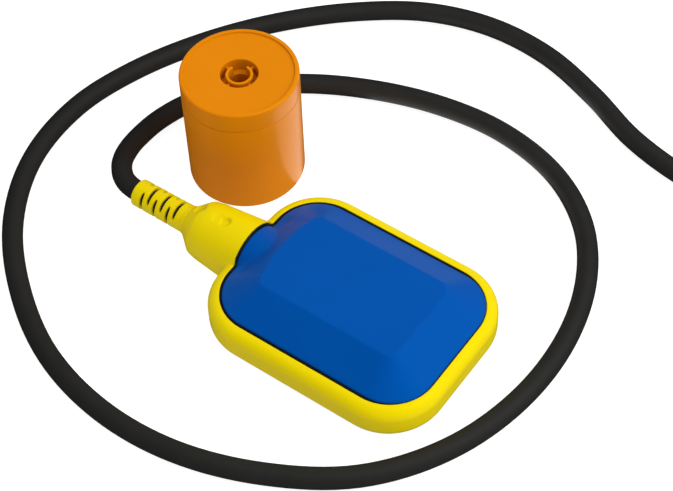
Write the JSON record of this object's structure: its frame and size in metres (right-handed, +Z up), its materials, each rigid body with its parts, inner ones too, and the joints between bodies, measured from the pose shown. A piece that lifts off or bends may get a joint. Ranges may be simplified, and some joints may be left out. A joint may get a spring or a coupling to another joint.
{
  "type": "cable float switch with counterweight",
  "caption": "Cable float level switch: two sealed shells on a frame ring with a ball-operated microswitch, a slotted strain relief, a round rubber cable and a loose cable counterweight.",
  "frame": {"origin": "middle of the float's lower resting panel, on the floor", "axes": "+X along the float away from its cable, +Y across the float towards the side where the counterweight stands, +Z up out of the upper cover"},
  "size_m": [0.4418, 0.272, 0.058],
  "materials": {
    "blue_plastic": "fine moulded satin",
    "yellow_plastic": "moulded satin",
    "orange_plastic": "moulded semi-gloss",
    "black_rubber": "matte extruded",
    "seal_rubber": "smooth",
    "case_plastic": "moulded natural",
    "switch_plastic": "moulded thermoset",
    "button_plastic": "moulded",
    "potting_resin": "poured",
    "ball_steel": "polished bearing steel",
    "bright_steel": "zinc plated",
    "tinned_copper": "tinned",
    "contact_brass": "stamped",
    "cast_iron": "as cast",
    "core_brown": "extruded",
    "core_black": "extruded",
    "core_blue": "extruded",
    "tie_strap": "hook and loop tape"
  },
  "bodies": {
    "cable": {"cord_tube": "black_rubber", "cord_coil": "black_rubber", "cord_tail": "black_rubber", "core_brown": "core_brown", "core_black": "core_black", "core_blue": "core_blue", "ferrule_brown": "tinned_copper", "ferrule_black": "tinned_copper", "ferrule_blue": "tinned_copper", "coil_tie_a": "tie_strap", "coil_tie_b": "tie_strap"},
    "float": {"top_cover": "blue_plastic", "bottom_cover": "blue_plastic", "rim_frame": "yellow_plastic", "upper_seal": "seal_rubber", "lower_seal": "seal_rubber", "strain_relief": "yellow_plastic", "cable_entry": "black_rubber", "grommet_seal": "seal_rubber", "clamp_ring": "bright_steel", "gland_nut": "case_plastic", "resin_plug": "potting_resin", "wire_brown": "core_brown", "wire_black": "core_black", "wire_blue": "core_blue", "switch_case": "case_plastic", "switch_case_lid": "case_plastic", "case_screws": "bright_steel", "microswitch_base": "switch_plastic", "microswitch_cover": "switch_plastic", "terminal_common": "contact_brass", "terminal_make": "contact_brass", "terminal_break": "contact_brass", "contact_blade": "contact_brass", "lever_pin": "bright_steel"},
    "ball": {"steel_ball": "ball_steel"},
    "lever": {"switch_lever": "bright_steel"},
    "plunger": {"switch_plunger": "button_plastic"},
    "counterweight": {"weight_shell": "orange_plastic", "weight_lid": "orange_plastic", "ballast_ring": "cast_iron", "retaining_ring": "orange_plastic"}
  },
  "joints": [
    {"name": "float_swing", "type": "hinge", "parent": "cable", "child": "float", "pos_m": [-0.0975, 0, 0.018], "axis": [0, -1, 0], "range_deg": [0, 45], "deforming": ["strain_relief", "cable_entry"]},
    {"name": "ball_roll", "type": "slide", "parent": "float", "child": "ball", "axis": [-1, 0, 0], "range_m": [0, 0.0296]},
    {"name": "lever_press", "type": "hinge", "parent": "float", "child": "lever", "pos_m": [-0.0123, 0.0125, 0.018], "axis": [0, 0, -1], "range_deg": [0, 7], "stiffness_Nm_per_rad": 0.004, "springref_deg": -8.59},
    {"name": "plunger_travel", "type": "slide", "parent": "float", "child": "plunger", "axis": [-1, 0, 0], "range_m": [0, 0.00095], "deforming": ["contact_blade"]},
    {"name": "weight_lift", "type": "slide", "parent": "cable", "child": "counterweight", "axis": [0, 0, 1], "range_m": [0, 0.1]}
  ],
  "couplings": [
    {"joint": "plunger_travel", "follows": "lever_press", "m_per_rad": 0.0075}
  ]
}
